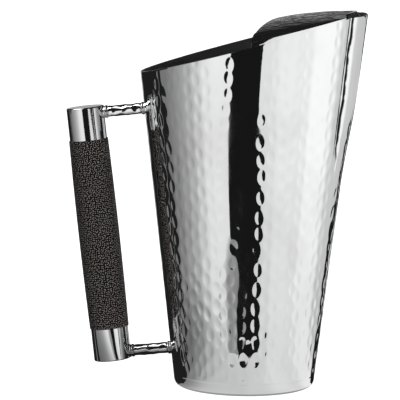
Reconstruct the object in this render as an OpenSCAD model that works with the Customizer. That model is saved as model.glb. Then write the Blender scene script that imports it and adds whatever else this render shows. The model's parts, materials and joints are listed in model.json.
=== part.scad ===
// Hammered stainless steel pitcher with a slanted mouth, a pouring lip, a domed hood over
// the front half of the mouth, and a tube handle with a leather grip on two short struts.
// All lengths are millimetres. The axis of the body is Z, the lip points along +X and the
// handle stands on the -X side. The body rests on the plane Z = 0.

/* [Body] */
// Diameter of the cone of the body where it would meet the table
base_d = 94; // [84:1:104]
// Lean of the wall away from the axis, in degrees
wall_angle = 6.8; // [5:0.1:8.5]
// Thickness of the body sheet
sheet_t = 1; // [0.8:0.1:1.5]
// Height of the rim, taken on the axis of the body
rim_h = 232.6; // [222:0.2:244]
// Slant of the rim, in degrees, rising towards the lip
rim_tilt = 15.2; // [10:0.1:18]
// How far the rim sweeps above its own slant beside the lip
rim_lift = 1.3; // [0:0.1:3]

/* [Base] */
// Height of the base pan, up to the seam with the wall
pan_h = 7; // [6.5:0.5:10]
// Outer radius of the corner between the base and the wall
corner_r = 5; // [4:0.5:6]
// Height of the weld that joins the base pan to the wall
base_seam_h = 1.2; // [0.8:0.1:2]
// How far that weld stands proud inside the body
base_seam_bulge = 0.5; // [0.3:0.1:1]

/* [Pouring lip] */
// How far the lip stands out from the cone of the body
lip_out = 2.8; // [1:0.1:5]
// Half of the width of the lip, in degrees round the body
lip_half_angle = 19.5; // [14:0.5:24]
// Height at which the lip starts to swell out of the wall
lip_low_h = 138; // [110:1:150]
// Height at which the lip has its full swell
lip_full_h = 202; // [175:1:210]
// Depth of the pressed fold on each side of the lip
fold_depth = 1.2; // [0:0.1:1.6]
// Width of that fold, in degrees round the body
fold_angle = 5.5; // [3.5:0.5:8]
// Height at which the folds start to press into the wall
fold_low_h = 142; // [110:1:150]
// Height at which the folds have their full depth
fold_full_h = 172; // [155:1:210]
// How far the edge of the lip dips below the line of the rim
lip_dip = 2.2; // [0:0.1:4]

/* [Hood] */
// Thickness of the hood sheet
hood_t = 1; // [0.8:0.1:1.2]
// Distance from the axis to the straight inner edge of the hood
hood_edge_x = 12.4; // [6:0.2:20]
// Highest rise of the crown of the hood above the rim
hood_rise = 11.6; // [9:0.1:15]
// Rise of the crown at the front edge of the hood, over the lip
hood_front_rise = 2; // [1.5:0.1:6]
// Height of the upright edge by which the hood stands on the rim, at its inner end
hood_side = 2; // [1.4:0.1:2.4]
// Height of that upright edge at its front end, beside the lip
hood_side_front = 0.7; // [0.5:0.1:1.4]
// How far the middle of the front edge draws back from its two ends
hood_bow = 3; // [1:0.5:8]
// Angle round the body between the lip's centre and each front end of the hood
hood_end_angle = 26; // [22:0.5:32]
// Radius of the bend along the inner edge of the hood
hem_r = 1.4; // [1.3:0.1:3]
// Depth of the turned-down hem below that bend
hem_depth = 3.2; // [2:0.1:4.5]
// Distance from the side of the hood to the end of the full hem
hem_end_gap = 11; // [9:0.5:14]

/* [Handle] */
// Outer diameter of the handle tube
tube_d = 25.4; // [22:0.2:28]
// Wall of the handle tube
tube_wall = 1.2; // [1:0.1:2]
// Length of the handle over both end caps
handle_len = 173.8; // [160:0.2:180]
// Place of the lower end of the handle, measured up along the wall from the table
handle_low = 19.2; // [17:0.2:24]
// Clear gap between the handle tube and the wall, square to the wall
handle_gap = 29; // [24:0.5:36]
// Thickness of each end cap
cap_t = 1.6; // [1.2:0.1:2.4]
// Radius of the polished outer edge of each cap
cap_edge_r = 0.8; // [0.4:0.1:1]

/* [Struts] */
// Diameter of each strut bar
strut_d = 8; // [7:0.2:9]
// Diameter of the turned-down ends of each bar, inside the welds
spigot_d = 6; // [5:0.2:6.6]
// Chamfer at each end of the full-size part of a bar
bar_chamfer = 0.6; // [0.2:0.1:0.8]
// Distance from each end of the handle to the axis of the strut there
strut_inset = 4.7; // [4.5:0.1:8]
// Length of each weld along the bar
weld_len = 3; // [2.4:0.1:4]
// Radius of the foot that each weld spreads on the tube
tube_weld_r = 4.5; // [4.2:0.1:4.5]
// Radius of the foot that each weld spreads on the wall
wall_weld_r = 5.4; // [4.6:0.1:6.5]

/* [Grip] */
// Length of bare polished handle left at each end of the leather wrap
bare_end = 22.2; // [20:0.2:32]
// Thickness of the wrap at its two ends
wrap_end_t = 0.6; // [0.4:0.1:1]
// Thickness of the wrap, padding included, halfway along
wrap_mid_t = 1.2; // [1:0.1:2]
// Glue line between the wrap and the tube
wrap_glue = 0.05; // [0.02:0.01:0.1]
// Width of the butt seam of the wrap, on the side that faces the body
wrap_seam = 0.4; // [0.2:0.1:0.8]

/* [Hidden] */
$fn = 96;

base_r = base_d / 2;
slope = tan(wall_angle);
// the sheet is measured square to the leaning wall, so its level width is a little larger
level_t = sheet_t / cos(wall_angle);
mouth_r = base_r + slope * rim_h;
wall_low = pan_h + base_seam_h;
tube_r = tube_d / 2;
strut_r = strut_d / 2;
spigot_r = spigot_d / 2;
wrap_len = handle_len - 2 * bare_end;
// place of the handle's axis in the frame of the wall
handle_x = -(handle_gap + tube_r);
lower_strut_z = handle_low + strut_inset;
upper_strut_z = handle_low + handle_len - strut_inset;
steel = "silver";
polished = "gainsboro";
weld_grey = "darkgray";
leather = [0.16, 0.13, 0.12];
// length by which a cutting tool reaches past what it cuts
overrun = 1;

// angle between two columns of the wall in the lip and outside of it
lip_step_angle = 2;
wall_step_angle = 5;
lip_zone_angle = 30;
// heights of the rings of the wall, as shares of the way from the seam to the rim
ring_shares = [0, 0.3, 0.5, 0.54, 0.58, 0.62, 0.66, 0.7, 0.74, 0.78, 0.82, 0.86, 0.9, 0.95, 1];

// A share that rises smoothly from 0 to 1
function smooth_share(s) = let (t = min(1, max(0, s))) t * t * (3 - 2 * t);

// Share of the full swell of the lip at an angle round the body, and at a height
function lip_angle_share(a) = abs(a) < lip_half_angle ? 1 - pow(a / lip_half_angle, 2) : 0;
function lip_height_share(z) = smooth_share((z - lip_low_h) / (lip_full_h - lip_low_h));

// Share of the full depth of a fold at an angle round the body, and at a height
function fold_angle_share(a) = exp(-pow((abs(a) - lip_half_angle) / (fold_angle / 2), 2));
function fold_height_share(z) = smooth_share((z - fold_low_h) / (fold_full_h - fold_low_h));

// Radius of the outer face of the wall at angle a and height z, less an inset
function wall_r(a, z, inset) =
    base_r + slope * z - inset
    + lip_out * lip_height_share(z) * lip_angle_share(a)
    - fold_depth * fold_height_share(z) * fold_angle_share(a);

// Height of the rim over a point at angle a and radius r
function rim_level(a, r) =
    rim_h + tan(rim_tilt) * r * cos(a)
    + rim_lift * pow(max(0, r * cos(a)) / mouth_r, 2)
    - lip_dip * lip_angle_share(a);

// Height at which the wall at angle a meets the rim, found by repeated substitution
function rim_z(a, inset, turns = 6, z = rim_h) =
    turns == 0 ? z : rim_z(a, inset, turns - 1, rim_level(a, wall_r(a, z, inset)));

function wall_point(a, z, inset) =
    let (r = wall_r(a, z, inset)) [r * cos(a), r * sin(a), z];
function rim_point(a, inset) = wall_point(a, rim_z(a, inset), inset);

// Turns an angle into the same direction between -180 and 180 degrees
function near_zero(a) = a > 180 ? a - 360 : a;

columns = concat(
    [for (a = [-lip_zone_angle : lip_step_angle : lip_zone_angle - lip_step_angle]) a],
    [for (a = [lip_zone_angle : wall_step_angle : 360 - lip_zone_angle - wall_step_angle]) near_zero(a)]
);

// Two triangles for the corners a, b, c, d of one cell, taken in turn
function cell(a, b, c, d) = [[a, b, c], [a, c, d]];

// Puts children in the frame of the wall behind the handle: Z runs up along the outer face
// and -X points square away from it
module wall_frame() {
    translate([-base_r, 0, 0])
        rotate([0, -wall_angle, 0])
            children();
}

// The full cone of the body, used to cut what sits against its outer face
module wall_cone() {
    cylinder(h = rim_h, r1 = base_r, r2 = mouth_r, $fn = 256);
}

// The full round of the handle tube, past both ends, used to cut what sits against it
module tube_round() {
    wall_frame()
        translate([handle_x, 0, handle_low - strut_d])
            cylinder(d = tube_d, h = handle_len + 2 * strut_d);
}

// Stamped pan that closes the bottom: a flat floor, a round corner and a short leaning skirt
module base_pan() {
    color(steel)
        rotate_extrude()
            difference() {
                pan_outline(0, corner_r);
                translate([0, sheet_t])
                    pan_outline(level_t - slope * sheet_t, corner_r - sheet_t);
            }
}

// Half of the pan's section, filled: inset moves its wall in and r is the corner's radius
module pan_outline(inset, r) {
    corner_x = base_r - inset + slope * r - r / cos(wall_angle);
    touch_x = corner_x + r * cos(wall_angle);
    touch_z = r - r * sin(wall_angle);
    top_x = base_r - inset + slope * pan_h;
    difference() {
        union() {
            translate([corner_x, r])
                circle(r = r);
            polygon([[0, 0], [corner_x, 0], [corner_x, r], [touch_x, touch_z],
                [top_x, pan_h], [0, pan_h]]);
        }
        translate([0, pan_h])
            square([base_d, base_d]);
        translate([-base_d, 0])
            square([base_d, base_d]);
    }
}

// Weld between the pan and the wall, ground flush outside and left proud inside
module base_seam() {
    low_x = base_r + slope * pan_h;
    high_x = base_r + slope * wall_low;
    mid_x = (low_x + high_x) / 2 - level_t - base_seam_bulge;
    mid_z = (pan_h + wall_low) / 2;
    color(weld_grey)
        rotate_extrude()
            polygon([[low_x, pan_h], [high_x, wall_low], [high_x - level_t, wall_low],
                [mid_x, mid_z], [low_x - level_t, pan_h]]);
}

// Conical wall of the body with its slanted rim and the pouring lip that swells out of it
// between two pressed folds
module body_shell() {
    rings = len(ring_shares);
    turns = len(columns);
    skin = rings * turns;
    points = [
        for (inset = [0, level_t])
            for (share = ring_shares)
                for (a = columns)
                    wall_point(a, wall_low + share * (rim_z(a, inset) - wall_low), inset)
    ];
    faces = [
        for (k = [0 : turns - 1])
            let (next = (k + 1) % turns)
                each concat(
                    [for (i = [0 : rings - 2])
                        each cell(i * turns + k, (i + 1) * turns + k,
                            (i + 1) * turns + next, i * turns + next)],
                    [for (i = [0 : rings - 2])
                        each cell(skin + i * turns + next, skin + (i + 1) * turns + next,
                            skin + (i + 1) * turns + k, skin + i * turns + k)],
                    cell(skin - turns + k, 2 * skin - turns + k,
                        2 * skin - turns + next, skin - turns + next),
                    cell(k, next, skin + next, skin + k)
                )
    ];
    color(steel)
        polyhedron(points = points, faces = faces, convexity = 8);
}

// Rows of the hood from the foot of the hem to the front edge. Each row has the place along
// X of its two side ends, and the drop of its middle below the dome
hem_setback = 0.5;
hem_angles = [0, 30, 60];
hood_cell_count = 15;
hood_front_x = rim_point(hood_end_angle, 0).x;
dome_x = hood_edge_x + hem_setback + hem_r;
hood_rows = concat(
    [[hood_edge_x, hem_r + hem_depth]],
    [for (t = hem_angles) [dome_x - hem_r * cos(t), hem_r * (1 - sin(t))]],
    [for (i = [0 : hood_cell_count]) [dome_x + (hood_front_x - dome_x) * i / hood_cell_count, 0]]
);
// across the hood, half of the cells between the middle and a side
hood_half_count = 11;

// Angle round the body at which the rim stands over the place x
function side_angle(x) = acos(x / (base_r + slope * (rim_h + tan(rim_tilt) * x)));

// Rise of the crown above the rim at the place x along the middle of the hood. The share is
// the power by which the rise falls off towards the front
hood_middle_front = hood_front_x - hood_bow;
crown_fall_share = 1.65;
function crown_rise(x) =
    let (share = max(0, (x - dome_x) / (hood_middle_front - dome_x)))
        hood_rise - (hood_rise - hood_front_rise) * pow(share, crown_fall_share);

// Share of the crown's rise at the place v across, from -1 at one side to 1 at the other. The
// lower the power, the squarer the shoulders of the dome
dome_round_share = 0.28;
function arch_share(v) = pow(max(0, 1 - v * v), dome_round_share);

// Share of the hem's drop at v: the whole drop in the middle and little at the two sides
hem_side_share = 0.14;
function hem_share(v, half_width) =
    abs(v) * half_width > half_width - hem_end_gap ? hem_side_share : 1;

// Point of the top face of the hood on a row, at v across
function hood_point(row, v) =
    let (
        a = side_angle(row[0]),
        side = rim_point(a, 0),
        forward = (row[0] - hood_edge_x) / (hood_front_x - hood_edge_x),
        middle_x = side.x - hood_bow * forward * forward,
        x = side.x + (middle_x - side.x) * (1 - v * v),
        rim = rim_h + tan(rim_tilt) * x + rim_lift * pow(max(0, x) / mouth_r, 2),
        foot = hood_side + (hood_side_front - hood_side) * forward,
        rise = foot + (crown_rise(middle_x) - foot) * arch_share(v)
    )
        [x, v * side.y, rim + rise - row[1] * hem_share(v, side.y)];

// Column j of a row: the foot of the side, then the arch, then the foot of the other side
hood_columns = 2 * hood_half_count + 3;
function hood_v(j) = sin(90 * (j - 1 - hood_half_count) / hood_half_count);
function foot_side(j) = j == 0 ? -1 : 1;
function is_foot(j) = j == 0 || j == hood_columns - 1;
function hood_top(i, j) =
    is_foot(j)
        ? rim_point(foot_side(j) * side_angle(hood_rows[i][0]), 0)
        : hood_point(hood_rows[i], hood_v(j));

function unit(p) = p / norm(p);
function hood_normal(i, j) =
    let (
        last = len(hood_rows) - 1,
        along = hood_top(min(last, i + 1), j) - hood_top(max(0, i - 1), j),
        across = hood_top(i, j + 1) - hood_top(i, j - 1)
    )
        unit(cross(along, across));
function hood_under(i, j) =
    is_foot(j)
        ? rim_point(foot_side(j) * side_angle(hood_rows[i][0]), level_t)
        : hood_top(i, j) - hood_t * hood_normal(i, j);

// Domed hood over the front half of the mouth. Its sides stand upright on the rim, its inner
// edge is turned down into a hem, and its front edge arches over the lip
module hood() {
    rows = len(hood_rows);
    n = hood_columns;
    skin = rows * n;
    points = concat(
        [for (i = [0 : rows - 1]) for (j = [0 : n - 1]) hood_top(i, j)],
        [for (i = [0 : rows - 1]) for (j = [0 : n - 1]) hood_under(i, j)]
    );
    faces = concat(
        [for (i = [0 : rows - 2]) for (j = [0 : n - 2])
            each cell(i * n + j, i * n + j + 1, (i + 1) * n + j + 1, (i + 1) * n + j)],
        [for (i = [0 : rows - 2]) for (j = [0 : n - 2])
            each cell(skin + (i + 1) * n + j, skin + (i + 1) * n + j + 1,
                skin + i * n + j + 1, skin + i * n + j)],
        [for (j = [0 : n - 2])
            each cell(j, skin + j, skin + j + 1, j + 1)],
        [for (j = [0 : n - 2])
            let (a = (rows - 1) * n + j)
                each cell(a + 1, skin + a + 1, skin + a, a)],
        [for (i = [0 : rows - 2])
            each cell(i * n, (i + 1) * n, skin + (i + 1) * n, skin + i * n)],
        [for (i = [0 : rows - 2])
            let (a = i * n + n - 1, b = (i + 1) * n + n - 1)
                each cell(a, skin + a, skin + b, b)]
    );
    color(steel)
        polyhedron(points = points, faces = faces, convexity = 6);
}

// Round bar between the tube and the wall, with a turned-down spigot at each end that is
// shaped to the face it meets
module strut(z) {
    bar_start = tube_r + weld_len;
    bar_end = tube_r + handle_gap - weld_len;
    spigot_end = tube_r + handle_gap + strut_r;
    profile = [[0, 0], [spigot_r, 0], [spigot_r, bar_start],
        [strut_r - bar_chamfer, bar_start], [strut_r, bar_start + bar_chamfer],
        [strut_r, bar_end - bar_chamfer], [strut_r - bar_chamfer, bar_end],
        [spigot_r, bar_end], [spigot_r, spigot_end], [0, spigot_end]];
    color(polished)
        difference() {
            wall_frame()
                translate([handle_x, 0, z])
                    rotate([0, 90, 0])
                        rotate_extrude()
                            polygon(profile);
            wall_cone();
            tube_round();
        }
}

// Section of a weld round a spigot: a bead beside the bar and a foot that spreads on the face
// at height 0. The foot reaches on behind that face, by the given depth, and is cut to fit it
module weld_section(foot_r, depth) {
    bead_r = weld_len / 3;
    bead_x = spigot_r + bead_r / 2;
    bead_angles = [-60 : 15 : 90];
    polygon(concat(
        [[spigot_r, -depth], [foot_r, -depth], [foot_r, 0]],
        [for (t = bead_angles)
            [bead_x + bead_r * cos(t), weld_len - bead_r + bead_r * sin(t)]],
        [[spigot_r, weld_len]]
    ));
}

// Weld that holds a strut on the handle tube
module tube_weld(z) {
    color(weld_grey)
        difference() {
            wall_frame()
                translate([handle_x + tube_r, 0, z])
                    rotate([0, 90, 0])
                        rotate_extrude()
                            weld_section(tube_weld_r, tube_r / 2);
            tube_round();
        }
}

// Weld that holds a strut on the wall of the body
module wall_weld(z) {
    color(weld_grey)
        difference() {
            wall_frame()
                translate([0, 0, z])
                    rotate([0, -90, 0])
                        rotate_extrude()
                            weld_section(wall_weld_r, sheet_t);
            wall_cone();
        }
}

module lower_strut() {
    strut(lower_strut_z);
}

module upper_strut() {
    strut(upper_strut_z);
}

module lower_tube_weld() {
    tube_weld(lower_strut_z);
}

module upper_tube_weld() {
    tube_weld(upper_strut_z);
}

module lower_wall_weld() {
    wall_weld(lower_strut_z);
}

module upper_wall_weld() {
    wall_weld(upper_strut_z);
}

// Places children on the axis of the handle, at a distance up from its lower end
module on_handle(up) {
    wall_frame()
        translate([handle_x, 0, handle_low + up])
            children();
}

// Straight tube between the two caps
module handle_tube() {
    tube_len = handle_len - 2 * cap_t;
    color(polished)
        on_handle(cap_t)
            difference() {
                cylinder(d = tube_d, h = tube_len);
                translate([0, 0, -overrun])
                    cylinder(d = tube_d - 2 * tube_wall, h = tube_len + 2 * overrun);
            }
}

// Flat cap with a polished round edge, its outer face at Z = 0 and its seat at Z = cap_t
module cap() {
    color(polished)
        rotate_extrude()
            intersection() {
                union() {
                    translate([tube_r - cap_edge_r, cap_edge_r])
                        circle(r = cap_edge_r);
                    square([tube_r - cap_edge_r, cap_t]);
                    translate([0, cap_edge_r])
                        square([tube_r, cap_t - cap_edge_r]);
                }
                square([tube_d, tube_d]);
            }
}

module tube_bottom_cap() {
    on_handle(0)
        cap();
}

module tube_top_cap() {
    on_handle(handle_len)
        mirror([0, 0, 1])
            cap();
}

// Leather wrapped once round the tube, a little fuller halfway along, with a butt seam that
// faces the body
module grip_wrap() {
    wrap_steps = 12;
    bore_r = tube_r + wrap_glue;
    profile = concat(
        [[bore_r, 0]],
        [for (i = [0 : wrap_steps])
            let (share = i / wrap_steps)
                [bore_r + wrap_end_t
                    + (wrap_mid_t - wrap_end_t) * (1 - pow(2 * share - 1, 2)),
                    wrap_len * share]],
        [[bore_r, wrap_len]]
    );
    color(leather)
        on_handle(bare_end)
            difference() {
                rotate_extrude()
                    polygon(profile);
                translate([0, -wrap_seam / 2, -overrun])
                    cube([tube_d, wrap_seam, wrap_len + 2 * overrun]);
            }
}

base_pan();
base_seam();
body_shell();
hood();
lower_strut();
lower_tube_weld();
lower_wall_weld();
upper_strut();
upper_tube_weld();
upper_wall_weld();
handle_tube();
tube_bottom_cap();
tube_top_cap();
grip_wrap();
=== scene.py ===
import json
import math

import bpy
import numpy as np
from mathutils import Matrix, Vector

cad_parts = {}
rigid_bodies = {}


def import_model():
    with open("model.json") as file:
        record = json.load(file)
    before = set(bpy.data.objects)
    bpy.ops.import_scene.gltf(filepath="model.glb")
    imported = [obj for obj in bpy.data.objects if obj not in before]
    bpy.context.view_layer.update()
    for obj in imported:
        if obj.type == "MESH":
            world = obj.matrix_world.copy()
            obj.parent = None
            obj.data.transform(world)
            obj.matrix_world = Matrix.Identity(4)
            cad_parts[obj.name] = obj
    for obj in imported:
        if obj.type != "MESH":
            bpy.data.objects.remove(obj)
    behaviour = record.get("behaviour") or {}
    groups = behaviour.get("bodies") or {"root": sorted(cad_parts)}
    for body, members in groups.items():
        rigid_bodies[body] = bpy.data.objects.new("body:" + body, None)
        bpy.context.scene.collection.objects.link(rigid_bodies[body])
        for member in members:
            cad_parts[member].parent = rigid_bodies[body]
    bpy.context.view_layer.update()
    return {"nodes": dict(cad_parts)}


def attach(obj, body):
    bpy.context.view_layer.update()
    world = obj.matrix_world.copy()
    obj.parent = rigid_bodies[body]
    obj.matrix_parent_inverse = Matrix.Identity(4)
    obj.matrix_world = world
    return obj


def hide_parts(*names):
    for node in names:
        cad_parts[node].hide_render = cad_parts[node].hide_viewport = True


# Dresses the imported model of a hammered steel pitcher. All lengths are metres, angles round
# the body are degrees from the lip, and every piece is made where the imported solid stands.
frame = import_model()
nodes = frame["nodes"]

# Base pan and the weld ring above it. The pan is stamped from sheet and ground smooth, the
# ring is a fusion weld, ground flush outside and left proud inside. Both keep their packed
# solids, and get the polish that all the steel shares.
STEEL_GREY = (0.86, 0.865, 0.87)
SMEARED_GREY = (0.80, 0.80, 0.80)
MM = 0.001


def socket(group, name, kind, way, value=None):
    """One input or output of a node group."""
    made = group.interface.new_socket(name=name, in_out=way, socket_type=kind)
    if value is not None:
        made.default_value = value
    return made


def add(tree, kind, **settings):
    """One node with its settings."""
    node = tree.nodes.new(kind)
    for key, value in settings.items():
        setattr(node, key, value)
    return node


def feed(tree, inlet, value):
    """Feeds an inlet from an outlet, a plain colour or a number."""
    if isinstance(value, bpy.types.NodeSocket):
        tree.links.new(value, inlet)
    else:
        inlet.default_value = (*value, 1) if isinstance(value, tuple) else value


def maths(tree, operation, *terms, clamp=False):
    """One sum, each term a number or an outlet."""
    node = add(tree, "ShaderNodeMath", operation=operation, use_clamp=clamp)
    for place, term in enumerate(terms):
        feed(tree, node.inputs[place], term)
    return node.outputs[0]


def noise(tree, vector, scale, detail=2.0, stretch=None):
    """Cloudy noise, drawn out along an axis where stretch says so."""
    if stretch:
        turn = add(tree, "ShaderNodeMapping")
        turn.inputs["Scale"].default_value = stretch
        tree.links.new(vector, turn.inputs["Vector"])
        vector = turn.outputs["Vector"]
    node = add(tree, "ShaderNodeTexNoise")
    node.inputs["Scale"].default_value = scale
    node.inputs["Detail"].default_value = detail
    tree.links.new(vector, node.inputs["Vector"])
    return node.outputs["Fac"]


def spread(tree, value, low, high, to_low, to_high):
    """Takes a value smoothly from one range to another, and holds it at the ends."""
    node = add(tree, "ShaderNodeMapRange", interpolation_type="SMOOTHSTEP")
    names = ("Value", "From Min", "From Max", "To Min", "To Max")
    for name, level in zip(names, (value, low, high, to_low, to_high)):
        feed(tree, node.inputs[name], level)
    return node.outputs["Result"]


def blend(tree, factor, first, second):
    """Mixes two colours, each an outlet or a plain colour."""
    node = add(tree, "ShaderNodeMix", data_type="RGBA")
    for name, value in (("Factor", factor), ("A", first), ("B", second)):
        feed(tree, node.inputs[name], value)
    return node.outputs["Result"]


def bumped(tree, height, strength, distance):
    """The way a face looks where fine bumps tilt it."""
    node = add(tree, "ShaderNodeBump")
    for name, value in (("Height", height), ("Strength", strength), ("Distance", distance)):
        feed(tree, node.inputs[name], value)
    return node.outputs["Normal"]


def new_material(name):
    """A material with its nodes and its main shader."""
    material = bpy.data.materials.new(name)
    material.use_nodes = True
    return material, material.node_tree, material.node_tree.nodes["Principled BSDF"]


def make_polish_group():
    """Mirror polish as it really is: a faint ripple left by the buffing wheel, hairlines from
    cleaning, and soft smears where hands have been."""
    group = bpy.data.node_groups.new("buffed_polish", "ShaderNodeTree")
    socket(group, "Clean", "NodeSocketFloat", "INPUT", 0.03)
    socket(group, "Smeared", "NodeSocketFloat", "INPUT", 0.09)
    socket(group, "Ripple", "NodeSocketFloat", "INPUT", 0.1)
    socket(group, "Color", "NodeSocketColor", "OUTPUT")
    socket(group, "Roughness", "NodeSocketFloat", "OUTPUT")
    socket(group, "Normal", "NodeSocketVector", "OUTPUT")
    start, end = add(group, "NodeGroupInput"), add(group, "NodeGroupOutput")
    place = add(group, "ShaderNodeTexCoord").outputs["Object"]
    smears = noise(group, place, 38, 4, (1, 1, 0.6))
    hairs = noise(group, place, 60, 3, (90, 90, 3))
    cross_hairs = noise(group, place, 60, 3, (4, 4, 95))
    ripple = noise(group, place, 260, 1)
    smear_mask = spread(group, smears, 0.42, 0.72, 0, 1)
    hair_mask = spread(group, maths(group, "MAXIMUM", hairs, cross_hairs), 0.66, 0.8, 0, 1)
    mask = maths(group, "MAXIMUM", smear_mask, maths(group, "MULTIPLY", hair_mask, 0.6), clamp=True)
    group.links.new(blend(group, mask, STEEL_GREY, SMEARED_GREY), end.inputs["Color"])
    rough = spread(group, mask, 0, 1, start.outputs["Clean"], start.outputs["Smeared"])
    group.links.new(rough, end.inputs["Roughness"])
    height = maths(group, "ADD", ripple, maths(group, "MULTIPLY", hair_mask, -0.15))
    group.links.new(bumped(group, height, start.outputs["Ripple"], 0.02 * MM), end.inputs["Normal"])
    return group


buffed_polish = make_polish_group()


def polished_steel(name, clean, smeared, ripple):
    """Polished stainless steel: the group gives what varies, the metal itself is plain."""
    material, tree, metal = new_material(name)
    metal.inputs["Metallic"].default_value = 1
    polish = add(tree, "ShaderNodeGroup", node_tree=buffed_polish)
    polish.inputs["Clean"].default_value = clean
    polish.inputs["Smeared"].default_value = smeared
    polish.inputs["Ripple"].default_value = ripple
    tree.links.new(polish.outputs["Color"], metal.inputs["Base Color"])
    tree.links.new(polish.outputs["Roughness"], metal.inputs["Roughness"])
    tree.links.new(polish.outputs["Normal"], metal.inputs["Normal"])
    return material


def finish_solid(name, material):
    """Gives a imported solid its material."""
    nodes[name].data.materials.clear()
    nodes[name].data.materials.append(material)


finish_solid("base_pan", polished_steel("base_steel", 0.03, 0.1, 0.12))
finish_solid("base_seam", polished_steel("seam_steel", 0.03, 0.1, 0.14))

# Wall of the body. One sheet of stainless steel, rolled into a cone, welded, swelled out into
# the lip between two pressed folds, each with a fine crease along it, then hammered all over
# from outside in upright columns of oval strikes. Mirror polished outside, satin inside.
BASE_R = 47 * MM
WALL_ANGLE = 6.8
SLOPE = math.tan(math.radians(WALL_ANGLE))
SHEET_T = 1 * MM
LEVEL_T = SHEET_T / math.cos(math.radians(WALL_ANGLE))
RIM_H = 232.6 * MM
RIM_TILT = math.tan(math.radians(15.2))
RIM_LIFT = 1.3 * MM
MOUTH_R = BASE_R + SLOPE * RIM_H
WALL_LOW = 8.2 * MM
LIP_OUT = 2.8 * MM
LIP_HALF_ANGLE = 19.5
LIP_LOW_H, LIP_FULL_H = 138 * MM, 202 * MM
LIP_DIP = 2.2 * MM
FOLD_DEPTH, FOLD_ANGLE = 1.2 * MM, 5.5
FOLD_LOW_H, FOLD_FULL_H = 142 * MM, 172 * MM
# The crease by each fold: its depth, half width and distance from the fold in degrees, and how
# it wanders as it climbs: swings in degrees, each with its wave in millimetres.
CREASE_DEPTH, CREASE_ANGLE, CREASE_SHIFT = 0.45 * MM, 0.6, 1.4
CREASE_SWINGS = ((0.24, 7.6), (0.14, 3.4))
# Near black painted along the bottom of each crease as shade, and the roughness there.
CREASE_PAINTED_SHADE, CREASE_ROUGH = (0.012, 0.012, 0.012), 0.35
SATIN_GREY, SATIN_ROUGH = (0.66, 0.66, 0.665), 0.36

WALL_TURNS, WALL_RINGS, INNER_RINGS = 600, 220, 90
EDGE_STEPS = 6
OPEN_EDGE_R, SEATED_EDGE_R = 0.5 * MM, 0.04 * MM

STRIKE_COLUMNS, STRIKE_ROWS = 58, 24
STRIKE_ROW = 12.2 * MM
FIRST_STRIKE = 12 * MM
LOW_STRIKE_DEPTH, STRIKE_DEPTH = 0.32 * MM, 0.17 * MM
LOW_STRIKE_H, FULL_STRIKE_H = 50 * MM, 105 * MM
STRIKE_FADE = 5 * MM
STRIKE_HALF_HEIGHT, STRIKE_HALF_WIDTH = 4.9 * MM, 2.8 * MM
STRIKE_SEED = 11
# Columns struck out of line with the rest, counted from the lip: angle and height (mm) of each
# strike, from the lowest up.
EDGE_COLUMNS = {
    -12: (
        (-71.6, 15.1), (-73.2, 25.1), (-74.5, 37.4), (-74.7, 49.6), (-74.9, 61), (-74.1, 73.9),
        (-73.8, 87.5), (-75.3, 100.7), (-73.9, 111.7), (-74.1, 122.5), (-73.7, 136), (-73.3, 150.3),
        (-74.2, 161.2), (-74.8, 173), (-74.2, 187.8), (-71.8, 198.8), (-71.6, 212.7), (-71.2, 223.9),
    ),
    -13: (
        (-83, 14.2), (-82.6, 25.5), (-79.4, 34.8), (-84, 37.4), (-84.1, 48), (-84.2, 58.7),
        (-83.4, 70.5), (-82.2, 82.7), (-81.6, 95), (-81, 107.2), (-80.4, 119.4),
    ),
    -14: (
        (-91.3, 13.2), (-91.3, 24.9), (-90.8, 35.6), (-90.5, 45.9), (-90.9, 57), (-91.2, 68.4),
        (-91.7, 80.1), (-90.7, 91.1), (-89.5, 102.8), (-87.7, 113), (-86.7, 125.8), (-87.1, 137.7),
        (-87.1, 148.8), (-86.6, 161), (-86, 173),
    ),
    -15: (
        (-97.5, 14.8), (-97.8, 28.6), (-98, 42.4), (-98, 56.2), (-98, 70), (-98, 83.8), (-98, 97.6),
        (-98, 111.4), (-98, 125.2), (-97.9, 139), (-98.3, 147.6), (-98.1, 156.4), (-97.4, 165.1),
        (-96.5, 174.7), (-94.8, 184.8), (-94, 194.7), (-92.6, 204.7), (-92.3, 215.4), (-91.6, 224.5),
    ),
}
# Strikes by the foot of two columns are harder than the rest. These are softer, by columns,
# rows and share: low beside those two, behind the handle, high on the side, and on the lip.
HARD_COLUMNS, HARD_DEPTHS = slice(-13, -11), (1.27, 1.35, 1.5, 1.55, 1.5, 1.3)
SOFT_STRIKES = (
    (range(-14, -13), slice(2, 8), 0.78),
    (range(23, 35), slice(0, None), 0.3),
    (range(-21, -18), slice(13, None), 0.35),
    (range(-3, 4), slice(14, None), 0.3),
)
# From the first of these columns to the second, the strikes stand further and further off
# their even places, up to this share of a column.
CROWDED_COLUMNS, CROWDING = (-28, -15), 0.75


def smooth_share(share):
    """A share from 0 to 1 that starts and ends gently."""
    share = np.clip(share, 0, 1)
    return share * share * (3 - 2 * share)


def lip_angle_share(angle):
    """Share of the lip's swell at an angle round the body."""
    return np.where(np.abs(angle) < LIP_HALF_ANGLE, 1 - (angle / LIP_HALF_ANGLE) ** 2, 0)


def wall_radius(angle, z):
    """Radius of the outer face of the wall, before it is hammered."""
    lip = LIP_OUT * lip_angle_share(angle) * smooth_share((z - LIP_LOW_H) / (LIP_FULL_H - LIP_LOW_H))
    from_fold = np.abs(angle) - LIP_HALF_ANGLE
    fold = FOLD_DEPTH * np.exp(-((from_fold / (FOLD_ANGLE / 2)) ** 2))
    wander = sum(swing * np.sin(z / (wave * MM)) for swing, wave in CREASE_SWINGS)
    fold = fold + CREASE_DEPTH * np.exp(-(((from_fold + CREASE_SHIFT + wander) / CREASE_ANGLE) ** 2))
    return BASE_R + SLOPE * z + lip - fold * smooth_share((z - FOLD_LOW_H) / (FOLD_FULL_H - FOLD_LOW_H))


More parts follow.
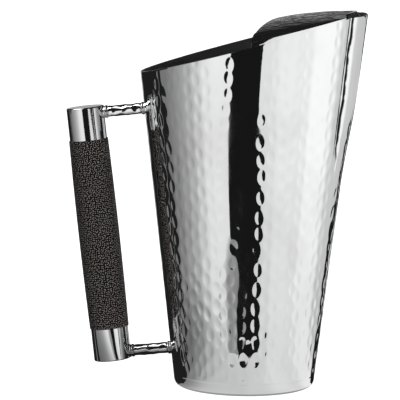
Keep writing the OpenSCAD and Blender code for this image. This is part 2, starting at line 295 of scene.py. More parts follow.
def rim_over(x):
    """Height of the slanted rim over a place x, without the dip of the lip."""
    return RIM_H + RIM_TILT * x + RIM_LIFT * (np.maximum(0, x) / MOUTH_R) ** 2


def rim_height(angle, inset=0.0):
    """Height at which the wall meets the rim, found by repeated substitution."""
    z = np.full_like(np.asarray(angle, float), RIM_H)
    for _ in range(8):
        x = (wall_radius(angle, z) - inset) * np.cos(np.radians(angle))
        z = rim_over(x) - LIP_DIP * lip_angle_share(angle)
    return z


class Strikes:
    """Upright columns of hammer strikes, each column half a row off its neighbours. Every
    strike has its own small error of place, size, depth and tilt, as handwork has, and a
    column may drift to one side as it climbs."""

    def __init__(self, columns, rows, seed, scatter=(0.17, 0.11), lean=0.12, drift=0.0):
        random = np.random.RandomState(seed)
        size = (columns, rows)
        self.columns, self.rows = columns, rows
        self.across = random.uniform(-scatter[0], scatter[0], size)
        self.along = random.uniform(-scatter[1], scatter[1], size)
        self.size = random.uniform(0.88, 1.1, size)
        self.depth = random.uniform(0.75, 1.15, size)
        self.lean = random.uniform(-lean, lean, size)
        self.drift = random.uniform(-drift, drift, columns)

    def follow(self, column, places):
        """Sets one column to strikes of known angle and height, from the lowest up. Above the
        last of them the column goes on straight, with shallower strikes."""
        last = len(places) - 1
        for row, (angle, height) in enumerate(places):
            self.across[column, row] = angle * self.columns / 360 - column
            self.along[column, row] = (height * MM - FIRST_STRIKE) / STRIKE_ROW - 0.5 * (column % 2) - row
        self.across[column, last:] = self.across[column, last]
        self.along[column, last:] = self.along[column, last]
        self.depth[column, last:] *= 0.7
        self.lean[column] *= 0.5
        self.size[column] = 1 + (self.size[column] - 1) * 0.6
        self.drift[column] = 0

    def dents(self, across, along, half_width, half_height, cell_width, cell_height, round_share=0.1):
        """Depth of the dents as a share of a full strike. Across and along count in columns
        and rows; the halves and the cells are lengths, so that each strike is a true oval."""
        deepest = np.zeros_like(across)
        near_column = np.round(across).astype(int)
        for side in (-2, -1, 0, 1, 2):
            column = near_column + side
            wrapped = np.mod(column, self.columns)
            shifted = along - 0.5 * np.mod(wrapped, 2)
            near_row = np.round(shifted).astype(int)
            for step in (-2, -1, 0, 1, 2):
                row = near_row + step
                kept = np.clip(row, 0, self.rows - 1)
                pick = (wrapped, kept)
                centre = column + self.across[pick] + self.drift[wrapped] * (row - self.rows / 2)
                u = (across - centre) * cell_width
                v = (shifted - row - self.along[pick]) * cell_height
                u = u + self.lean[pick] * v
                size = self.size[pick]
                level = 1 - (u / (half_width * size)) ** 2 - (v / (half_height * size)) ** 2
                level = 0.5 * (level + np.sqrt(level * level + round_share * round_share)) * self.depth[pick]
                deepest = np.where((row >= 0) & (row < self.rows), np.maximum(deepest, level), deepest)
        return deepest


wall_strikes = Strikes(STRIKE_COLUMNS, STRIKE_ROWS, STRIKE_SEED, scatter=(0.14, 0.1), drift=0.03)
for edge_column, strike_places in EDGE_COLUMNS.items():
    wall_strikes.follow(edge_column, strike_places)
wall_strikes.depth[HARD_COLUMNS, : len(HARD_DEPTHS)] = HARD_DEPTHS
for soft_columns, soft_rows, soft_share in SOFT_STRIKES:
    wall_strikes.depth[list(soft_columns), soft_rows] *= soft_share
crowded = np.arange(CROWDED_COLUMNS[1] - CROWDED_COLUMNS[0])[:, None]
wall_strikes.across[slice(*CROWDED_COLUMNS)] -= CROWDING * crowded / len(crowded)


def wall_dents(angle, z):
    """Depth of the hammering at a place on the wall."""
    radius = BASE_R + SLOPE * z
    cell_width = radius * math.radians(360 / STRIKE_COLUMNS)
    across = angle * STRIKE_COLUMNS / 360
    along = (z - FIRST_STRIKE) / STRIKE_ROW
    depth = wall_strikes.dents(across, along, STRIKE_HALF_WIDTH, STRIKE_HALF_HEIGHT, cell_width, STRIKE_ROW)
    low_share = smooth_share((FULL_STRIKE_H - z) / (FULL_STRIKE_H - LOW_STRIKE_H))
    full_depth = STRIKE_DEPTH + (LOW_STRIKE_DEPTH - STRIKE_DEPTH) * low_share
    return full_depth * depth * smooth_share((z - WALL_LOW) / STRIKE_FADE)


def grid_faces(rows, columns, first=0, closed=True, inward=False):
    """Faces of a grid of points, row after row."""
    steps = columns if closed else columns - 1
    row, column = np.meshgrid(np.arange(rows - 1), np.arange(steps), indexing="ij")
    after = np.mod(column + 1, columns)
    low, high = first + row * columns, first + (row + 1) * columns
    corners = [low + column, low + after, high + after, high + column]
    if inward:
        corners.reverse()
    return np.stack(corners, axis=-1).reshape(-1, 4)


def make_piece(name, points, faces, material, slot_name, replaced):
    """A mesh piece on the one body of the model, with smooth shading."""
    mesh = bpy.data.meshes.new(name)
    corners = np.asarray(points).reshape(-1, 3).tolist()
    mesh.from_pydata(corners, [], [face.tolist() for part in faces for face in part])
    mesh.update()
    mesh.shade_smooth()
    mesh.materials.append(material)
    piece = bpy.data.objects.new(name, mesh)
    bpy.context.scene.collection.objects.link(piece)
    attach(piece, "root")
    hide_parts(*replaced)
    return piece


def side_angle(x):
    """Angle round the body at which the rim stands over the place x."""
    return np.degrees(np.arccos(x / (BASE_R + SLOPE * (RIM_H + RIM_TILT * x))))


# The hood sits on the rim from its straight edge to these angles beside the lip.
HOOD_EDGE_X = 12.4 * MM
HOOD_END_ANGLE = 26
# Close loops beside each fold: the first, the last and the step in degrees.
CREASE_LOOPS = (-3.2, 0.6, 0.13)


def make_wall():
    """Loops of points up the outer face, over the rim and down the inner face. They stand
    closer together where the two creases run."""
    angle = -180 + 360 * np.arange(WALL_TURNS) / WALL_TURNS
    by_crease = np.arange(*CREASE_LOOPS)
    angle = np.sort(np.concatenate([angle, LIP_HALF_ANGLE + by_crease, -LIP_HALF_ANGLE - by_crease]))
    turns = len(angle)
    turn = np.radians(angle)
    top = rim_height(angle)
    seated = (np.abs(angle) < side_angle(HOOD_EDGE_X)) & (np.abs(angle) > HOOD_END_ANGLE)
    edge_r = np.where(seated, SEATED_EDGE_R, OPEN_EDGE_R)
    outer_top = top - edge_r
    loops = []

    def loop(z, inset):
        radius = wall_radius(angle, z) - inset
        loops.append(np.stack([radius * np.cos(turn), radius * np.sin(turn), z], axis=-1))

    for share in np.linspace(0, 1, WALL_RINGS):
        z = WALL_LOW + share * (outer_top - WALL_LOW)
        loop(z, wall_dents(angle, z))
    rim_dent = wall_dents(angle, outer_top)
    for step in range(1, EDGE_STEPS + 1):
        t = math.pi / 2 * step / EDGE_STEPS
        loop(top - edge_r + edge_r * math.sin(t), rim_dent + edge_r * (1 - math.cos(t)))
    for step in range(EDGE_STEPS):
        t = math.pi / 2 * step / EDGE_STEPS
        loop(top - edge_r + edge_r * math.cos(t), rim_dent + LEVEL_T - edge_r * (1 - math.sin(t)))
    for share in np.linspace(1, 0, INNER_RINGS):
        z = WALL_LOW + share * (outer_top - WALL_LOW)
        loop(z, LEVEL_T + wall_dents(angle, z))
    points = np.concatenate(loops)
    count = len(loops)
    # The last strip joins the lowest inner loop to the lowest outer one.
    closing = grid_faces(2, turns)
    closing = np.where(closing >= turns, closing - turns, closing + (count - 1) * turns)
    return points, [grid_faces(count, turns), closing]


def measures(tree, vector):
    """The X, Y and Z of a vector."""
    node = add(tree, "ShaderNodeSeparateXYZ")
    tree.links.new(vector, node.inputs[0])
    return node.outputs


def finish_wall(material):
    """The bottom of each crease is painted near black as shade and left dull, and the inside gets no
    more than a satin polish."""
    tree = material.node_tree
    metal = tree.nodes["Principled BSDF"]
    polish = next(node for node in tree.nodes if node.type == "GROUP")
    place = add(tree, "ShaderNodeTexCoord").outputs["Object"]
    stands = measures(tree, place)
    side = maths(tree, "ABSOLUTE", stands["Y"])
    off = maths(tree, "DEGREES", maths(tree, "ARCTAN2", side, stands["X"]))
    off = maths(tree, "SUBTRACT", off, LIP_HALF_ANGLE - CREASE_SHIFT)
    for swing, wave in CREASE_SWINGS:
        turn = maths(tree, "SINE", maths(tree, "DIVIDE", stands["Z"], wave * MM))
        off = maths(tree, "ADD", off, maths(tree, "MULTIPLY", turn, swing))
    # Painted shade: a near black, dull line along the bottom of each crease, of wandering width, from the
    # folds upward.
    width = spread(tree, noise(tree, place, 130, 2), 0.35, 0.65, 0.75, 1.35)
    dark = spread(tree, maths(tree, "DIVIDE", maths(tree, "ABSOLUTE", off), width), 0.4, 0.95, 1, 0)
    dark = maths(tree, "MULTIPLY", dark, spread(tree, stands["Z"], 0.15, 0.166, 0, 1))
    from_axis = add(tree, "ShaderNodeVectorMath", operation="MULTIPLY")
    from_axis.inputs[1].default_value = (1, 1, 0)
    tree.links.new(place, from_axis.inputs[0])
    outward = add(tree, "ShaderNodeVectorMath", operation="DOT_PRODUCT")
    tree.links.new(add(tree, "ShaderNodeNewGeometry").outputs["Normal"], outward.inputs[0])
    tree.links.new(from_axis.outputs["Vector"], outward.inputs[1])
    inside = maths(tree, "LESS_THAN", outward.outputs["Value"], 0)
    tone = blend(tree, inside, blend(tree, dark, polish.outputs["Color"], CREASE_PAINTED_SHADE), SATIN_GREY)
    tree.links.new(tone, metal.inputs["Base Color"])
    rough = spread(tree, dark, 0, 1, polish.outputs["Roughness"], CREASE_ROUGH)
    rough = maths(tree, "MAXIMUM", rough, maths(tree, "MULTIPLY", inside, SATIN_ROUGH))
    tree.links.new(rough, metal.inputs["Roughness"])


wall_points, wall_faces = make_wall()
hammered_steel = polished_steel("hammered_steel", 0.03, 0.09, 0.2)
finish_wall(hammered_steel)
make_piece("hammered_wall", wall_points, wall_faces, hammered_steel, "hammered_steel", ["body_shell"])

# Hood over the front half of the mouth, which holds back the ice. It is one sheet, beaten
# into a dome with upright sides that are welded along the rim and polished over. Its inner
# edge is turned down into a hem, clipped short at both sides, and its front arches over the lip.
HOOD_T = 1 * MM
HOOD_RISE, HOOD_FRONT_RISE = 11.6 * MM, 2 * MM
HOOD_SIDE, HOOD_SIDE_FRONT = 2 * MM, 0.7 * MM
HOOD_BOW = 3 * MM
HEM_R, HEM_DEPTH, HEM_END_GAP = 1.4 * MM, 3.2 * MM, 11 * MM
HEM_SETBACK = 0.5 * MM
HEM_CLIP = 3 * MM
HEM_SIDE_SHARE = 0.14
CROWN_FALL, DOME_ROUND = 1.65, 0.28
DOME_X = HOOD_EDGE_X + HEM_SETBACK + HEM_R
HOOD_ROWS, HOOD_HALF_COLUMNS = 84, 90
HOOD_STRIKE = 6.4 * MM
HOOD_STRIKE_DEPTH = 0.33 * MM
HOOD_STRIKE_FIELD = 110 * MM
front_z = rim_height(np.array([HOOD_END_ANGLE]))[0]
HOOD_FRONT_X = wall_radius(HOOD_END_ANGLE, front_z) * math.cos(math.radians(HOOD_END_ANGLE))


def rim_corner(x, side, inset):
    """Point of the rim at the place x on one side of the mouth."""
    angle = side_angle(x) * side
    z = rim_height(angle, inset)
    radius = wall_radius(angle, z) - inset
    return np.stack([radius * np.cos(np.radians(angle)), radius * np.sin(np.radians(angle)), z], axis=-1)


def crown_rise(x):
    """Height of the crown of the dome over the rim's slant."""
    share = np.maximum(0, (x - DOME_X) / (HOOD_FRONT_X - HOOD_BOW - DOME_X))
    return HOOD_RISE - (HOOD_RISE - HOOD_FRONT_RISE) * share**CROWN_FALL


def hood_surface(row_x, drop, v):
    """Top of the hood: rows along X, and v across from -1 to 1."""
    side = rim_corner(row_x, 1, 0.0)
    side_x, side_y = side[:, 0:1], side[:, 1:2]
    forward = ((row_x - HOOD_EDGE_X) / (HOOD_FRONT_X - HOOD_EDGE_X))[:, None]
    middle_x = side_x - HOOD_BOW * forward**2
    x = side_x + (middle_x - side_x) * (1 - v * v)
    arch = np.maximum(0, 1 - v * v) ** DOME_ROUND
    foot = HOOD_SIDE + (HOOD_SIDE_FRONT - HOOD_SIDE) * forward
    rise = foot + (crown_rise(middle_x) - foot) * arch
    clipped = smooth_share((np.abs(v) * side_y - (side_y - HEM_END_GAP - HEM_CLIP / 2)) / HEM_CLIP)
    hem = 1 - (1 - HEM_SIDE_SHARE) * clipped
    return np.stack([x, v * side_y, rim_over(x) + rise - drop[:, None] * hem], axis=-1)


def surface_normals(points):
    """Direction off the face at each point of a grid."""
    along = np.gradient(points, axis=0)
    across = np.gradient(points, axis=1)
    normal = np.cross(along, across)
    return normal / np.linalg.norm(normal, axis=-1, keepdims=True)


def make_hood():
    """The two skins of the hood, row after row from the foot of the hem to the front. Each row
    starts and ends with a foot on the rim."""
    hem_foot = [(HOOD_EDGE_X + HEM_SETBACK * k / 4, HEM_R + HEM_DEPTH * (1 - k / 4)) for k in range(4)]
    bend = [math.radians(t) for t in range(0, 90, 10)]
    bend_rows = [(DOME_X - HEM_R * math.cos(t), HEM_R * (1 - math.sin(t))) for t in bend]
    dome_rows = [(x, 0.0) for x in np.linspace(DOME_X, HOOD_FRONT_X, HOOD_ROWS)]
    rows = np.array(hem_foot + bend_rows + dome_rows)
    steps = np.arange(-HOOD_HALF_COLUMNS, HOOD_HALF_COLUMNS + 1) / HOOD_HALF_COLUMNS
    v = np.sin(np.pi / 2 * steps)[None, :]
    top = hood_surface(rows[:, 0], rows[:, 1], v)
    normal = surface_normals(top)
    count = int(HOOD_STRIKE_FIELD / HOOD_STRIKE)
    strikes = Strikes(count, count, STRIKE_SEED + 1, scatter=(0.24, 0.24), lean=0.2)
    across = top[:, :, 1] / HOOD_STRIKE + count / 2
    along = top[:, :, 0] / HOOD_STRIKE
    dent = strikes.dents(across, along, 0.5 * HOOD_STRIKE, 0.75 * HOOD_STRIKE, HOOD_STRIKE, HOOD_STRIKE)
    dent = HOOD_STRIKE_DEPTH * dent * smooth_share((1 - np.abs(v)) / 0.03)
    dent = dent * smooth_share((top[:, :, 0] - HOOD_EDGE_X) / (3 * MM))
    outer = top - normal * dent[:, :, None]
    inner = top - normal * (dent[:, :, None] + HOOD_T)
    sides = [(side, inset) for side in (-1, 1) for inset in (0.0, LEVEL_T)]
    feet = [rim_corner(rows[:, 0], side, inset)[:, None, :] for side, inset in sides]
    outer = np.concatenate([feet[0], outer, feet[2]], axis=1)
    inner = np.concatenate([feet[1], inner, feet[3]], axis=1)
    return outer, inner


def shell_faces(rows, columns):
    """Closes two skins of the same grid into one sheet, with strips along all four edges."""
    skin = rows * columns
    loops = [np.arange(columns), (rows - 1) * columns + np.arange(columns)[::-1]]
    loops += [np.arange(rows)[::-1] * columns, np.arange(rows) * columns + columns - 1]
    strips = [np.stack([a[1:], a[:-1], a[:-1] + skin, a[1:] + skin], axis=-1) for a in loops]
    return [grid_faces(rows, columns, 0, False), grid_faces(rows, columns, skin, False, True), *strips]


outer_hood, inner_hood = make_hood()
hood_rows, hood_columns = outer_hood.shape[:2]
hood_points = np.concatenate([outer_hood.reshape(-1, 3), inner_hood.reshape(-1, 3)])
hood_faces = shell_faces(hood_rows, hood_columns)
hood_steel = polished_steel("hood_steel", 0.04, 0.11, 0.25)
hood = make_piece("hammered_hood", hood_points, hood_faces, hood_steel, "hood_steel", ["hood"])
hood_edges = hood.modifiers.new("rounded_edges", "BEVEL")
hood_edges.width = 0.2 * MM
hood_edges.segments = 2
hood_edges.limit_method = "ANGLE"
hood_edges.angle_limit = math.radians(55)

# Two short bars that carry the handle. Each is turned from 8 mm round bar, with a thinner
# spigot at both ends inside the welds, and hammered like the body so that it catches light.
WALL_TURN = Matrix.Translation((-BASE_R, 0, 0)) @ Matrix.Rotation(math.radians(-WALL_ANGLE), 4, "Y")
TUBE_R = 12.7 * MM
HANDLE_LEN, HANDLE_LOW, HANDLE_GAP = 173.8 * MM, 19.2 * MM, 29 * MM
HANDLE_X = -(HANDLE_GAP + TUBE_R)
STRUT_R, SPIGOT_R, BAR_CHAMFER = 4 * MM, 3 * MM, 0.6 * MM
SPIGOT_GAP = 0.3 * MM
STRUT_INSET, WELD_LEN = 4.7 * MM, 3 * MM
STRUT_HEIGHTS = {"lower": HANDLE_LOW + STRUT_INSET, "upper": HANDLE_LOW + HANDLE_LEN - STRUT_INSET}
BAR_TURNS, BAR_STEPS = 72, 90
BAR_STRIKES = 4
BAR_STRIKE_DEPTH = 0.36 * MM


def in_wall_frame(points):
    """Takes points from the frame of the wall behind the handle to the frame of the model."""
    points = np.asarray(points, float)
    turn = np.array(WALL_TURN.to_3x3())
    return points @ turn.T + np.array(WALL_TURN.translation)


def make_bar(height, seed):
    """A turned bar at one height: its profile from the tube to the wall, turned all round."""
    start, end = WELD_LEN, HANDLE_GAP - WELD_LEN
    chamfers = [(start, STRUT_R - BAR_CHAMFER), (start + BAR_CHAMFER, STRUT_R)]
    middle = [(x, STRUT_R) for x in np.linspace(start + BAR_CHAMFER, end - BAR_CHAMFER, BAR_STEPS)[1:-1]]
    ends = [(end - BAR_CHAMFER, STRUT_R), (end, STRUT_R - BAR_CHAMFER)]
    last = HANDLE_GAP - SPIGOT_GAP
    profile = [(SPIGOT_GAP, 0), (SPIGOT_GAP, SPIGOT_R), (start, SPIGOT_R), *chamfers, *middle, *ends]
    profile = np.array(profile + [(end, SPIGOT_R), (last, SPIGOT_R), (last, 0)])
    turn = 2 * np.pi * np.arange(BAR_TURNS) / BAR_TURNS
    strikes = Strikes(BAR_STRIKES, BAR_STRIKES, seed, scatter=(0.25, 0.2), lean=0.3)
    cell_width, cell_height = 2 * np.pi * STRUT_R / BAR_STRIKES, (end - start) / (BAR_STRIKES - 0.5)
    across = np.tile(turn / (2 * np.pi) * BAR_STRIKES, (len(profile), 1))
    along = np.tile(((profile[:, 0] - start) / cell_height)[:, None], (1, BAR_TURNS))
    dent = strikes.dents(across, along, 0.52 * cell_width, 0.62 * cell_height, cell_width, cell_height)
    out, around = profile[:, 0:1], profile[:, 1:2]
    full = (around > SPIGOT_R) * smooth_share((out - start) / MM) * smooth_share((end - out) / MM)
    radius = around - BAR_STRIKE_DEPTH * dent * full
    x = np.tile(out, (1, BAR_TURNS)) - HANDLE_GAP
    points = np.stack([x, radius * np.cos(turn), height + radius * np.sin(turn)], axis=-1)
    return in_wall_frame(points.reshape(-1, 3)), [grid_faces(len(profile), BAR_TURNS, inward=True)]


strut_steel = polished_steel("strut_steel", 0.05, 0.13, 0.3)
for place, (side, height) in enumerate(STRUT_HEIGHTS.items()):
    bar = make_bar(height, STRIKE_SEED + 2 + place)
    make_piece(f"hammered_{side}_strut", *bar, strut_steel, "strut_steel", [f"{side}_strut"])

# Four weld beads, one at each end of each bar. They are run by hand with filler rod, so each
# bead is a ring of small overlapping ripples with a foot that spreads on the face behind it,
# brushed bright but left lumpy and a little straw coloured.
TUBE_FOOT_R, WALL_FOOT_R = 4.5 * MM, 5.4 * MM
BEAD_TURNS, BEAD_RIPPLES = 120, 17
RIPPLE_SHARE = 0.16
BEAD_SEED = 31
STRAW_GREY, BRUSHED_GREY = (0.62, 0.60, 0.57), (0.84, 0.84, 0.84)


def ramp(tree, value, stops, way="LINEAR"):
    """Runs a value through stops, each a place with its level or colour."""
    node = add(tree, "ShaderNodeValToRGB")
    node.color_ramp.interpolation = way
    elements = node.color_ramp.elements
    while len(elements) < len(stops):
        elements.new(0.5)
    for element, (place, colour) in zip(elements, stops):
        element.position = place
        element.color = (*colour, 1) if isinstance(colour, tuple) else (colour, colour, colour, 1)
    tree.links.new(value, node.inputs["Fac"])
    return node.outputs["Color"]


def weld_steel():
    """Brushed weld metal, straw coloured in patches."""
    material, tree, metal = new_material("weld_steel")
    metal.inputs["Metallic"].default_value = 1
    place = add(tree, "ShaderNodeTexCoord").outputs["Object"]
    patches = noise(tree, place, 420, 3)
    tint = ramp(tree, patches, ((0, STRAW_GREY), (1, BRUSHED_GREY)))
    tree.links.new(tint, metal.inputs["Base Color"])
    tree.links.new(spread(tree, patches, 0.35, 0.65, 0.24, 0.12), metal.inputs["Roughness"])
    lumps = bumped(tree, noise(tree, place, 1500, 3), 0.5, 0.06 * MM)
    tree.links.new(lumps, metal.inputs["Normal"])
    return material


def make_bead(height, foot_r, on_tube, seed):
    """A ring of weld round a spigot. Its own axis runs away from the face that it sits on."""
    bead_r = WELD_LEN / 3
    bead_x = SPIGOT_R + bead_r / 2
    arc = [math.radians(t) for t in range(-60, 91, 15)]
    top = [(bead_x + bead_r * math.cos(t), WELD_LEN - bead_r + bead_r * math.sin(t)) for t in arc]
    section = np.array([(foot_r, 0.0), *top, (SPIGOT_R, WELD_LEN), (SPIGOT_R, 0.2 * WELD_LEN)])
    turn = 2 * np.pi * np.arange(BEAD_TURNS) / BEAD_TURNS
    random = np.random.RandomState(seed)
    swing = random.uniform(0, 2 * np.pi, 3)
    ripple = np.abs(np.sin(turn * BEAD_RIPPLES / 2 + 0.4 * np.sin(turn + swing[0])))
    lumps = 0.5 * np.sin(2 * turn + swing[1]) + 0.5 * np.sin(5 * turn + swing[2])
    shrink = RIPPLE_SHARE * (0.7 * (1 - ripple) + 0.3 * (1 - lumps) / 2)
    reach = section[:, 0:1] - SPIGOT_R
    radius = SPIGOT_R + reach * (1 - shrink * np.minimum(1, reach / (0.5 * MM)))
    side, up = radius * np.cos(turn), radius * np.sin(turn)
    face_r = TUBE_R if on_tube else BASE_R + SLOPE * height
    fall = face_r - np.sqrt(face_r**2 - side**2)
    foot_share = np.clip(1 - section[:, 1:2] / WELD_LEN, 0, 1)
    out = section[:, 1:2] - fall * foot_share
    x = out - HANDLE_GAP if on_tube else -out
    points = np.stack([x + 0 * side, side, height + up], axis=-1)
    return in_wall_frame(points.reshape(-1, 3)), [grid_faces(len(section), BEAD_TURNS, inward=not on_tube)]


bead_steel = weld_steel()
for place, (side, height) in enumerate(STRUT_HEIGHTS.items()):
    for carrier, foot_r in (("tube", TUBE_FOOT_R), ("wall", WALL_FOOT_R)):
        bead = make_bead(height, foot_r, carrier == "tube", BEAD_SEED + place)
        make_piece(f"{side}_{carrier}_bead", *bead, bead_steel, "weld_metal", [f"{side}_{carrier}_weld"])

# Handle tube and the two discs that close it. The tube is drawn 25.4 mm stainless, mirror
# polished; the discs are welded on its ends and turned flush, with a soft outer edge. All
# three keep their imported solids.
handle_steel = polished_steel("handle_steel", 0.02, 0.07, 0.06)
for name in ("handle_tube", "tube_bottom_cap", "tube_top_cap"):
    finish_solid(name, handle_steel)

# Grip. One sheet of dark brown leather with a pebbled grain, skived thin at both ends,
# wrapped once round the tube and glued, with a butt seam on the side that faces the body.
BARE_END = 22.2 * MM
WRAP_LEN = HANDLE_LEN - 2 * BARE_END
WRAP_GLUE = 0.05 * MM
WRAP_END_T, WRAP_MID_T, WRAP_SEAM = 0.6 * MM, 1.2 * MM, 0.4 * MM
PEBBLE = 1.3 * MM
PEBBLE_DEPTH = 0.18 * MM
GRAIN_SEED = 5
DARK_LEATHER, BROWN_LEATHER = (0.003, 0.002, 0.0017), (0.008, 0.0052, 0.0044)
# Light grey painted on the pebble tops as highlights.
GLINT_PAINTED_LEATHER = (0.31, 0.296, 0.286)
GRIP_TURNS, GRIP_RINGS = 230, 340


def pebble_grain(across, along, columns, seed):
    """Height of the grain from 0 in the creases to 1 on the pebbles: round cells about points
    that are jittered off a grid."""
    random = np.random.RandomState(seed)
    rows = int(along.max()) + 4
    jitter = random.uniform(0.12, 0.88, (2, columns, rows))
    lift = random.uniform(0.75, 1, (columns, rows))
    first = np.full_like(across, 9.0)
    second = np.full_like(across, 9.0)
    height = np.ones_like(across)
    column, row = np.floor(across).astype(int), np.floor(along).astype(int)
    for side in (-1, 0, 1):
        for step in (-1, 0, 1):
            pick = (np.mod(column + side, columns), np.clip(row + step, 0, rows - 1))
            far = np.hypot(column + side + jitter[0][pick] - across, row + step + jitter[1][pick] - along)
            nearer = far < first
            second = np.where(nearer, first, np.minimum(second, far))
            height = np.where(nearer, lift[pick], height)
            first = np.where(nearer, far, first)
    return height * smooth_share((second - first) / 0.55) * (1 - 0.35 * np.clip(first, 0, 1) ** 2)


def make_grip():
    """The wrap from one side of its seam round to the other, grained outside, plain in the bore."""
    bore_r = TUBE_R + WRAP_GLUE
    seam_turn = WRAP_SEAM / 2 / bore_r
    turn = np.linspace(seam_turn, 2 * np.pi - seam_turn, GRIP_TURNS)[None, :]
    share = np.linspace(0, 1, GRIP_RINGS)[:, None]
    thickness = WRAP_END_T + (WRAP_MID_T - WRAP_END_T) * (1 - (2 * share - 1) ** 2)
    columns = int(round(2 * np.pi * (bore_r + WRAP_MID_T) / PEBBLE))
    across, along = turn / (2 * np.pi) * columns + 0 * share, share * WRAP_LEN / PEBBLE + 0 * turn
    grain = pebble_grain(across, along, columns, GRAIN_SEED)
    from_seam = np.minimum(turn - seam_turn, 2 * np.pi - seam_turn - turn) * bore_r
    from_end = np.minimum(share, 1 - share) * WRAP_LEN
    edge = np.minimum(from_seam + 0 * share, from_end + 0 * turn)
    rounding = 0.22 * MM * (1 - smooth_share(edge / (0.5 * MM)))
    radius = bore_r + thickness - PEBBLE_DEPTH * (1 - grain) * smooth_share(edge / (0.8 * MM)) - rounding
    z = HANDLE_LOW + BARE_END + WRAP_LEN * share + 0 * turn
    skins = []
    for skin_r in (radius, bore_r + 0 * radius):
        skin = np.stack([HANDLE_X + skin_r * np.cos(turn), skin_r * np.sin(turn), z], axis=-1)
        skins.append(skin.reshape(-1, 3))
    faces = [face[:, ::-1] for face in shell_faces(GRIP_RINGS, GRIP_TURNS)]
    return in_wall_frame(np.concatenate(skins)), faces


def grip_leather():
    """Leather, dark between the pebbles, with painted highlights on their tops. The pebbles' cells are
    laid on the unrolled wrap."""
    material, tree, leather = new_material("grip_leather")
    place = add(tree, "ShaderNodeTexCoord").outputs["Object"]
    patches = noise(tree, place, 90, 4)
    pores = noise(tree, place, 2600, 2)
    unturn = add(tree, "ShaderNodeMapping", vector_type="TEXTURE")
    unturn.inputs["Location"].default_value = WALL_TURN @ Vector((HANDLE_X, 0, 0))
    unturn.inputs["Rotation"].default_value = WALL_TURN.to_euler()
    tree.links.new(place, unturn.inputs["Vector"])
    upright = measures(tree, unturn.outputs["Vector"])
    back_x, back_y = (maths(tree, "MULTIPLY", upright[axis], -1) for axis in "XY")
    turn = maths(tree, "ARCTAN2", back_y, back_x)
    unrolled = add(tree, "ShaderNodeCombineXYZ")
    tree.links.new(maths(tree, "MULTIPLY", turn, (TUBE_R + WRAP_MID_T) / PEBBLE), unrolled.inputs["X"])
    tree.links.new(maths(tree, "DIVIDE", upright["Z"], PEBBLE), unrolled.inputs["Y"])
    cells = add(tree, "ShaderNodeTexVoronoi", voronoi_dimensions="2D")
    cells.inputs["Scale"].default_value = 1
    cells.inputs["Randomness"].default_value = 0.65
    tree.links.new(unrolled.outputs[0], cells.inputs["Vector"])
    # Painted highlights: light grey on the top of each pebble's cell.
    tops = spread(tree, cells.outputs["Distance"], 0.1, 0.24, 1, 0)
    tone = ramp(tree, patches, ((0.3, DARK_LEATHER), (0.7, BROWN_LEATHER)))
    tree.links.new(blend(tree, tops, tone, GLINT_PAINTED_LEATHER), leather.inputs["Base Color"])
    tree.links.new(spread(tree, pores, 0.35, 0.65, 0.26, 0.4), leather.inputs["Roughness"])
    leather.inputs["Specular IOR Level"].default_value = 0.08
    tree.links.new(bumped(tree, pores, 0.4, 0.05 * MM), leather.inputs["Normal"])
    return material


make_piece("leather_wrap", *make_grip(), grip_leather(), "grip_leather", ["grip_wrap"])

# Studio. A white table runs up into a white backdrop, black cards and grey cards that paint a
# soft shadow lie on it round the base, and the room behind the camera is dark. The polished steel
# shows all of this; the cards, the dark room and the table's brightness by direction are seen in
# reflections only.
TABLE_R, TABLE_STEPS = 30, 96
TABLE_WHITE, TABLE_LIFT = (0.86, 0.86, 0.86), 0.84
# Direction in degrees from the camera's side towards the lip, with the level seen there.
TABLE_LEVELS = (
    (-180, 0.70), (-160, 0.55), (-140, 0.30), (-100, 0.20), (-90, 0.19), (-80, 0.25), (-70, 0.33),
    (-60, 0.42), (-50, 0.55), (-40, 0.74), (-30, 0.86), (-15, 0.86), (15, 0.80), (30, 0.78), (40, 0.86),
    (55, 0.89), (70, 0.87), (85, 1.04), (98, 1.08), (110, 0.88), (122, 0.66), (138, 0.60), (150, 0.56),
    (160, 0.56),
)
NEAR_LEVEL, FAR_LEVEL = 0.93, 1.1
# The handle shades the table beside the base, down to this level about this place.
HANDLE_SHADE, SHADE_LEVEL = (-0.105, -0.065, 0), 0.58
# Outlines of the cards in millimetres. The grey card is painted shadow on the table in front of
# the base, a nest of cards, each narrower and darker than the one below it, so that its sides are
# soft: width and level of each.
FRONT_CARD = (
    (3, -107), (49, -107), (57, -121), (61, -130), (66, -140), (77, -169), (84, -202), (99, -234),
    (116, -266), (132, -298), (147, -326), (168, -363), (184, -403), (192, -440), (205, -479),
    (209, -530), (208, -563), (215, -595), (231, -625), (247, -650), (272, -689), (302, -722),
    (520, -1200), (1300, -3000), (14500, -26000), (-4700, -29500), (-700, -3000), (-240, -1200),
    (-124, -756), (-126, -710), (-124, -660), (-127, -611), (-125, -570), (-118, -529), (-106, -477),
    (-93, -420), (-81, -385), (-70, -351), (-62, -328), (-27, -297), (-8, -278), (1, -258), (0, -238),
    (-5, -208), (-8, -175), (-4, -156),
)
PAINTED_SHADOW_CARD = (
    (10, -116), (-21, -116), (-28, -134), (-33, -152), (-38, -170), (-47, -196), (-62, -220), (-68, -256),
    (-66, -283), (-58, -321), (-50, -333), (10, -340),
)
PAINTED_SHADOW_STEPS = (
    (1.42, 0.74), (1.31, 0.64), (1.2, 0.54), (1.08, 0.46), (0.94, 0.39), (0.78, 0.33), (0.55, 0.28),
)
LEFT_CARD = (
    (-43.5, -17), (-50, -25), (-57, -28), (-66, -27), (-78, -28), (-110, -27), (-300, -12), (-515, 6),
    (-790, 35), (-850, 45), (-906, 90), (-955, 125), (-1015, 140), (-1020, -96), (-1600, -168),
    (-2600, -100), (-1400, 2600), (-60, 110), (-41, 22),
)
SLIT_CARD = (
    (-84, -20), (-161, -1), (-460, 76), (-900, 200), (-1080, 225), (-1080, 275), (-900, 236), (-460, 96),
    (-161, 7), (-84, -15),
)
